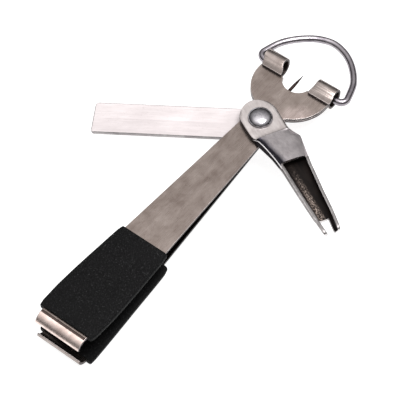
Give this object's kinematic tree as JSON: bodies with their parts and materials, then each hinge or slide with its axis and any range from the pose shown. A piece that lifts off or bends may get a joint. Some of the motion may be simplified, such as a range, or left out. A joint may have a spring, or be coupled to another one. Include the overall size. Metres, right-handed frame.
{
  "type": "fishing line nipper with knot tool",
  "caption": "Pocket line nipper with sprung jaws, rubber grips, swivelling knot tying trough, hook sharpening bar, eye clearing needle and a wire hanging bail.",
  "frame": {"origin": "on the rivet's axis, on the flat end of the rivet's tail", "axes": "+X from the cutting jaws towards the bail, +Y to the side the sharpening bar swings out on, +Z along the rivet towards its domed head"},
  "size_m": [0.0853, 0.056, 0.0091],
  "materials": {
    "steel_lower": "satin, fine lengthwise grain",
    "steel_upper": "satin, fine lengthwise grain",
    "steel_arm": "satin, fine lengthwise grain",
    "rubber_lower": "matt, fine grained",
    "rubber_upper": "matt, fine grained",
    "needle_steel": "dark polished",
    "rivet_chrome": "polished",
    "tool_steel": "satin",
    "bar_steel": "bright, finely ground",
    "wire_steel": "polished wire"
  },
  "bodies": {
    "root": {"lower_plate": "steel_lower", "upper_plate": "steel_upper", "lower_grip_sleeve": "rubber_lower", "eye_needle": "needle_steel", "pivot_rivet": "rivet_chrome"},
    "upper_arm": {"upper_arm": "steel_arm", "upper_grip_sleeve": "rubber_upper"},
    "knot_tool": {"knot_tool": "tool_steel"},
    "sharpener_bar": {"sharpener_bar": "bar_steel"},
    "ring_bail": {"ring_bail": "wire_steel"}
  },
  "joints": [
    {"name": "jaw_squeeze", "type": "hinge", "parent": "root", "child": "upper_arm", "pos_m": [-0.0032, 0, 0.0021], "axis": [0, -1, 0], "range_deg": [0, 3.4], "stiffness_Nm_per_rad": 6},
    {"name": "knot_tool_pivot", "type": "hinge", "parent": "root", "child": "knot_tool", "pos_m": [0, 0, 0.00325], "axis": [0, 0, 1], "range_deg": [-61, 50]},
    {"name": "sharpener_pivot", "type": "hinge", "parent": "root", "child": "sharpener_bar", "pos_m": [0, 0, 0.00108], "axis": [0, 0, 1], "range_deg": [-34, 58.5]},
    {"name": "bail_swing", "type": "hinge", "parent": "root", "child": "ring_bail", "pos_m": [0.0135, 0, 0.0016], "axis": [0, 1, 0], "range_deg": [-120, 150]}
  ]
}
